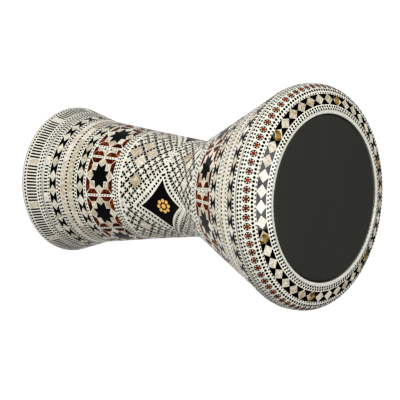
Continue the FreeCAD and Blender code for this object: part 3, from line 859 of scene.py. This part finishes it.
def rosettes(path, length, count, first):
    """Wheels of six black wedges that widen outwards, with bone between them, round an orange heart.
    A wedge's corners are (radius, swing in radians) from its middle line."""
    centres = first + np.arange(count) * 360.0 / count
    wide = degrees_per_mm(path, length)
    turn = np.arange(6) * math.pi / 3
    rim = [(HEART, -0.24), (WHEEL, -0.46), (WHEEL, 0.46), (HEART, 0.24)]
    wedge = np.stack([at(reach * np.cos(turn + swing), reach * np.sin(turn + swing))
                      for reach, swing in rim], 1)
    heart = circle(8) * (HEART - 0.1)
    spot = at(centres, length)
    wheels = (spot[:, None, None] + wedge[None] * (wide, 1)).reshape(-1, 4, 2)
    hearts = spot[:, None] + heart * (wide, 1)
    return [polygons(wheels, "black", INSET_DEPTH), polygons(hearts, "ember", INSET_DEPTH)]


ring_side = dot_rows(ring_path, [
    (2.4, 3.1, 178, 0.2), (6.5, 2.7, 181, 0.4), (20.6, 3.4, 172, 0.5), (24.7, 2.2, 162, 0.1)])
ring_side += rosettes(ring_path, 13.5, 80, -100.2)
lay_band("ring_side_mosaic", ring_path, RING_SIDE, ring_side, "ring", "ring_side_inlay")

# %% [markdown]
# On the ring's face the six screws go down through every seventh rhombus. A window of a few degrees
# is left out of the ground at each hole and filled by a patch that runs from the round hole to the
# window's straight edges: point = hole + share * (edge - hole), for a share from 0 to 1. Cutting the
# hole with a boolean would leave long thin faces.

# %% Ring face and its holes
SCREWS = 6
SIXTH = 360.0 / SCREWS        # degrees from one screw to the next
HOLES = np.arange(SCREWS) * SIXTH
HOLE_CIRCLE = 121.5           # mm, radius on which the screws stand
HOLE_RADIUS = 5.9
WINDOW = (3.6, 25.8, 39.6)    # half its degrees, and its lengths along the profile
FACE_RHOMBI = (26.0, 39.4)    # lengths along the profile between which the rhombi stand
FACE_COUNT = 42               # rhombi round the face, with those that the screws take
RHOMBUS_SHIFT = -0.9          # degrees from a screw's hole to the middle of the rhombus it was drilled in
DRILLED_TRIM = (0.28, 0.21)   # mm of resin line taken off that rhombus's half width and half height
RING_END = float(ring_path["length"][-1])
GAP_SHADOW_FROM = RING_END - 0.35    # the inlay stops here, and a thin black line of painted shadow, standing for the shade of the step up to the lip, parts it from the lip
GAP_SHADOW_PARTS = 180               # faces of that line


def in_window(points):
    """True for ground faces that a hole's window takes out."""
    away = (points[..., 0] + SIXTH / 2) % SIXTH - SIXTH / 2
    return (np.abs(away) < WINDOW[0]) & (points[..., 1] > WINDOW[1]) & (points[..., 1] < WINDOW[2])


def round_hole(around=48):
    """Directions round a screw's hole, and the hole's edge in (degrees, millimetres)."""
    turn = np.arange(around) * 2 * math.pi / around
    outwards, sideways = HOLE_CIRCLE + HOLE_RADIUS * np.cos(turn), HOLE_RADIUS * np.sin(turn)
    swing = np.degrees(np.arctan2(sideways, outwards))
    length = np.interp(-np.hypot(outwards, sideways), -ring_path["radius"], ring_path["length"])
    return at(np.sin(turn), -np.cos(turn)), at(swing, length)


def between(hole, edge, azimuth, rings):
    """Four-cornered faces that lead from the hole's edge to another outline in even shares."""
    share = np.linspace(0, 1, rings + 1)[:, None, None]
    grid = hole + share * (edge - hole) + (azimuth, 0)
    beside = np.roll(grid, -1, 1)
    return np.stack([grid[:-1], grid[1:], beside[1:], beside[:-1]], 2).reshape(-1, 4, 2)


def hole_patch(azimuth):
    """Ground from the round hole out to the window's edges."""
    ray, hole = round_hole()
    half = np.array([WINDOW[0], (WINDOW[2] - WINDOW[1]) / 2])
    edge = ray * half / np.abs(ray).max(1, keepdims=True) + (0, (WINDOW[1] + WINDOW[2]) / 2)
    return between(hole, edge, azimuth, 3)


def drilled_rhombus(azimuth):
    """The pearl rhombus that a screw's hole was drilled through: |x| / a + |y| / b < 1, outside it.
    Rays from the hole's middle run on past its edge to the last of 60 steps that is still inside."""
    hole = round_hole(96)[1]
    low, high = FACE_RHOMBI
    middle = (low + high) / 2
    half = np.array([180.0 / FACE_COUNT - DRILLED_TRIM[0] * degrees_per_mm(ring_path, middle),
                     (high - low) / 2 - DRILLED_TRIM[1]])
    share = np.linspace(1.0, 2.0, 60)[:, None, None]
    rays = (0, middle) + (hole - (0, middle)) * share
    inside = np.abs((rays - (RHOMBUS_SHIFT, middle)) / half).sum(-1) < 1
    last = np.maximum(inside.cumsum(0).max(0) - 1, 0)
    return between(hole, rays[last, np.arange(len(hole))], azimuth, 2)


print("a hole's patch has", len(hole_patch(0.0)), "faces and its rhombus", len(drilled_rhombus(0.0)))

# %% Ring face
ring_face = dot_rows(ring_path, [(42.0, 2.9, 144, 0.3), (45.1, 2.8, 140, 0.9)])
patches = np.concatenate([hole_patch(azimuth) for azimuth in HOLES])
ring_face.append(polygons(patches, "bone", GROUND_DEPTH, np.full(len(patches), 0.5)))
drilled = np.concatenate([drilled_rhombus(azimuth) for azimuth in HOLES])
tones = np.repeat(chooser.random(SCREWS), len(drilled) // SCREWS)
ring_face.append(polygons(drilled, "pearl", tone=tones))
taken = range(0, FACE_COUNT, FACE_COUNT // SCREWS)
ring_face += rhombi(ring_path, *FACE_RHOMBI, FACE_COUNT, RHOMBUS_SHIFT, skip=taken)
# Painted shadow: a thin ring of black tiles at the lip's edge, where the step up to the lip would cast
# shade.
gap_shadow_azimuths = np.arange(GAP_SHADOW_PARTS) * 360.0 / GAP_SHADOW_PARTS
ring_face.append(box_tiles(gap_shadow_azimuths, 180.0 / GAP_SHADOW_PARTS, GAP_SHADOW_FROM, RING_END - 0.02, "black"))
lay_band("ring_face_mosaic", ring_path, (FACE_SPLIT, RING_END), ring_face, "ring", "ring_face_inlay",
         stops=WINDOW[1:], window=in_window)

# %% [markdown]
# ## Black panels
#
# The real panels are sheets of black resin cut to shape. A hollow-sided panel is star-shaped round
# its centre, so its surface is the outline shrunk towards the middle: point = share * outline, with
# the share running from 0 to 1. Rings of small faces let it bend with the neck, as one flat polygon
# would not.


# %% Black panels
PANEL_GAP = 0.05          # mm left round a panel's edge
PANEL_RINGS = 12
PANEL_TONE = 0.4


def black_panel(number):
    """Rings of the outline at even shares, closed at the centre by a fan."""
    outline = diamond_outline(-PANEL_GAP)
    shares = np.linspace(0, 1, PANEL_RINGS + 1)[1:]
    around = len(outline)
    flat = np.concatenate([np.zeros((1, 2)), (shares[:, None, None] * outline).reshape(-1, 2)])
    place, normal = on_drum(body_path, from_diamond(flat, number), TOP_DEPTH)
    column = np.arange(around)
    fan = np.stack([np.zeros(around, int), 1 + column, 1 + (column + 1) % around], -1)
    ring, column = np.meshgrid(np.arange(PANEL_RINGS - 1), column, indexing="ij")
    inner, beside = 1 + ring * around, (column + 1) % around
    cells = np.stack([inner + column, inner + around + column, inner + around + beside,
                      inner + beside], -1).reshape(-1, 4)
    count = len(fan) + len(cells)
    name = "black_panel_%d" % (number + 1)
    mesh = mesh_from(name, place, normal, [fan, cells], np.zeros(count), np.full(count, PANEL_TONE),
                     [finish["black"]])
    panel = new_object(name, mesh)
    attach(panel, "drum_body")
    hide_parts("diamond_panel_%d" % (number + 1))
    print(name, "faces", count)


for number in range(DIAMONDS):
    black_panel(number)

# %% [markdown]
# ## Metal, film and hardware
#
# The casting shows bare only at the foot's edge, in the groove and inside. It was turned on a
# lathe, polished and lacquered, so it is pale and a little dull. The screws' holes are lined with
# brass. A full metal would mirror the dark studio round it, so metals that show small are made
# partly metallic, which gives them the even brightness that lacquer and polish give the real ones.


# %% Metal
def metal(name, shade, dark, roughness, grain_mm, bump_mm=0.0, metallic=1.0):
    """Metal whose colour and roughness wander with a fine grain; the scale is in millimetres."""
    made, tree = new_finish(name)
    spot = add(tree, "ShaderNodeTexCoord", out="Object")
    grain = add(tree, "ShaderNodeTexNoise", {"Vector": spot, "Scale": 1000.0 / grain_mm, "Detail": 4.0})
    tint = add(tree, "ShaderNodeMix", {0: grain, 6: colour(dark), 7: colour(shade)}, **COLOUR_MIX)
    rough = add(tree, "ShaderNodeMapRange", {0: grain, 3: roughness * 0.75, 4: roughness * 1.25})
    inputs = {"Base Color": tint, "Metallic": metallic, "Roughness": rough}
    if bump_mm:
        inputs["Normal"] = add(tree, "ShaderNodeBump", {"Height": grain, "Distance": bump_mm * MM})
    add(tree, "ShaderNodeOutputMaterial", {"Surface": add(tree, "ShaderNodeBsdfPrincipled", inputs)})
    return made


# %% Finishes of the metal pieces
# Cast aluminium, turned and polished: pale, with soft highlights and a trace of the sand's grain.
finish["casting"] = metal("turned cast aluminium under lacquer", "#d0d0c8", "#b4b4ab", 0.4, 1.6,
                          bump_mm=0.05, metallic=0.45)
# Extruded aluminium, left plain: greyer, with clearer reflections.
finish["hoop"] = metal("extruded aluminium", "#c9c9c6", "#b4b4b0", 0.3, 2.5)
# Brass tube under a dull oxide: a warm rim in each hole.
finish["sleeve"] = metal("dulled brass", "#e6c888", "#b9944e", 0.5, 1.5, metallic=0.5)
# Steel under blue-white zinc plate: cool and bright, the screws more so than the washers.
finish["washer"] = metal("zinc-plated steel", "#d0d2d4", "#a9abae", 0.45, 1.5)
finish["screw"] = metal("zinc-plated steel screw", "#eef3f6", "#ccd4da", 0.4, 1.2, metallic=0.5)
# Brass leaf, gilt and lacquered: bright gold with a soft grain.
finish["gilt"] = metal("gilt leaf under lacquer", "#f4cd85", "#dba551", 0.3, 1.8, metallic=0.3)
print("tile and metal finishes:", len(finish))

# %% [markdown]
# The drumhead is a matte charcoal film of polyester with a sprayed coating. Its colour follows a
# fine grain and a slow haze, multiplied, because a rubbed coating is worn in soft patches. The
# tuning ring's lip is painted, so it takes the same lacquered finish as the tiles.

# %% Film and lip
FILM_GRAIN = 1.2          # mm; the real grain of about 0.6 mm is too fine to show
FILM_HAZE = 60.0          # mm
made, tree = new_finish("matte polyester film")
spot = add(tree, "ShaderNodeTexCoord", out="Object")
grain = add(tree, "ShaderNodeTexNoise", {"Vector": spot, "Scale": 1000.0 / FILM_GRAIN, "Detail": 4.0})
haze = add(tree, "ShaderNodeTexNoise", {"Vector": spot, "Scale": 1000.0 / FILM_HAZE, "Detail": 2.0})
wander = add(tree, "ShaderNodeMath", {0: grain, 1: haze}, operation="MULTIPLY")
shade = add(tree, "ShaderNodeMix", {0: wander, 6: colour("#3b3b36"), 7: colour("#464640")}, **COLOUR_MIX)
relief = add(tree, "ShaderNodeBump", {"Height": grain, "Distance": 0.03 * MM, "Strength": 0.5})
shader = add(tree, "ShaderNodeBsdfPrincipled",
             {"Base Color": shade, "Roughness": 0.62, "Normal": relief, "Specular IOR Level": 0.35})
add(tree, "ShaderNodeOutputMaterial", {"Surface": shader})
finish["film"] = made
# The ring's lip is the casting with bone-coloured enamel; its faces that don't look upwards are given a
# darker grey as painted shade, where less light falls than on its top.
finish["enamel"] = lacquered("bone enamel with painted shade on the lip's inner side", "#d6d6cc", "#e6e6dc", "#c0c0b4", 12.0, 0.15,
                             painted_wall_shade="#8c8c84")
print("finishes in all:", len(finish))

# %% Finishes on the CAD nodes
chosen = {"shell_casting": "casting", "tuning_ring": "enamel", "head_film": "film", "head_hoop": "hoop",
          "bolt_sleeves": "sleeve", "bolt_washers": "washer", "gilt_rosettes": "gilt"}
chosen.update({"tuning_bolt_%d" % (number + 1): "screw" for number in range(SCREWS)})
for node_name, finish_name in chosen.items():
    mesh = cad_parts[node_name].data
    mesh.materials.clear()
    mesh.materials.append(finish[finish_name])
print("finished CAD nodes:", len(chosen))

# %% [markdown]
# ## Floor, light and camera
#
# The drum stands on a plain pale floor in soft studio light. Studio paper that is lit on its own
# looks pure white and takes hardly any shadow. Here the paper glows a little instead, which needs
# no lamps of its own. A large softbox stands behind the camera and a strip hangs over the drum.


# %% Floor and light
FLOOR_HALF = 6.0          # m
FLOOR_LEVEL = -0.0002     # m, a hair under the foot, so that the two flat faces do not coincide
floor_mesh = bpy.data.meshes.new("floor")
floor_corners = [(x * FLOOR_HALF, y * FLOOR_HALF, FLOOR_LEVEL)
                 for x, y in ((-1, -1), (1, -1), (1, 1), (-1, 1))]
floor_mesh.from_pydata(floor_corners, [], [(0, 1, 2, 3)])
floor = new_object("floor", floor_mesh)
made, tree = new_finish("pale studio paper")
shader = add(tree, "ShaderNodeBsdfPrincipled",
             {"Base Color": colour("#606060"), "Roughness": 0.9,
              "Emission Color": colour("#ffffff"), "Emission Strength": 0.71})
add(tree, "ShaderNodeOutputMaterial", {"Surface": shader})
floor_mesh.materials.append(made)


def softbox(name, place, aim, size, power):
    """An area light of this width and depth in metres and power in watts, turned towards aim."""
    lamp = bpy.data.lights.new(name, "AREA")
    lamp.shape = "RECTANGLE"
    lamp.size, lamp.size_y = size
    lamp.energy = power
    turn = (Vector(aim) - Vector(place)).to_track_quat("-Z", "Y").to_matrix().to_4x4()
    new_object(name, lamp).matrix_world = Matrix.Translation(place) @ turn


softbox("front_softbox", (-0.7, -2.3, 2.15), (0, 0, 0.25), (1.6, 1.6), 54)
softbox("top_strip", (-0.19, 0.53, 2.9), (-0.19, 0.45, 0.2), (1.5, 0.3), 24)
world = bpy.data.worlds.new("studio")
world.use_nodes = True
background = world.node_tree.nodes["Background"].inputs
background["Color"].default_value = (1, 1, 1, 1)
background["Strength"].default_value = 0.05     # a dark studio sends back hardly any light
bpy.context.scene.world = world
# The plain display transform with high contrast keeps white tiles white and black ones black.
bpy.context.scene.view_settings.view_transform = "Standard"
bpy.context.scene.view_settings.look = "High Contrast"
print("lamps:", len(bpy.data.lights))

# %% [markdown]
# The camera looks down at the drum from about 42 degrees and is rolled, so that the drum seems to
# lie on its side. A long lens from 1.7 m away keeps the foot and the head in proportion.

# %% Camera
CAMERA_PLACE = Vector((0.10028, -1.27413, 1.39049))
CAMERA_TARGET = Vector((0.01505, 0.00101, 0.24293))
CAMERA_ROLL = -94.91      # degrees
lens = bpy.data.cameras.new("camera")
lens.lens = 116.7         # mm, on a sensor 36 mm wide
lens.sensor_width = 36.0
lens.clip_end = 20.0
camera = new_object("camera", lens)
aim = (CAMERA_TARGET - CAMERA_PLACE).to_track_quat("-Z", "Y").to_matrix().to_4x4()
roll = Matrix.Rotation(math.radians(-CAMERA_ROLL), 4, "Z")
camera.matrix_world = Matrix.Translation(CAMERA_PLACE) @ aim @ roll
bpy.context.scene.camera = camera
print("camera at", [round(value, 3) for value in CAMERA_PLACE])
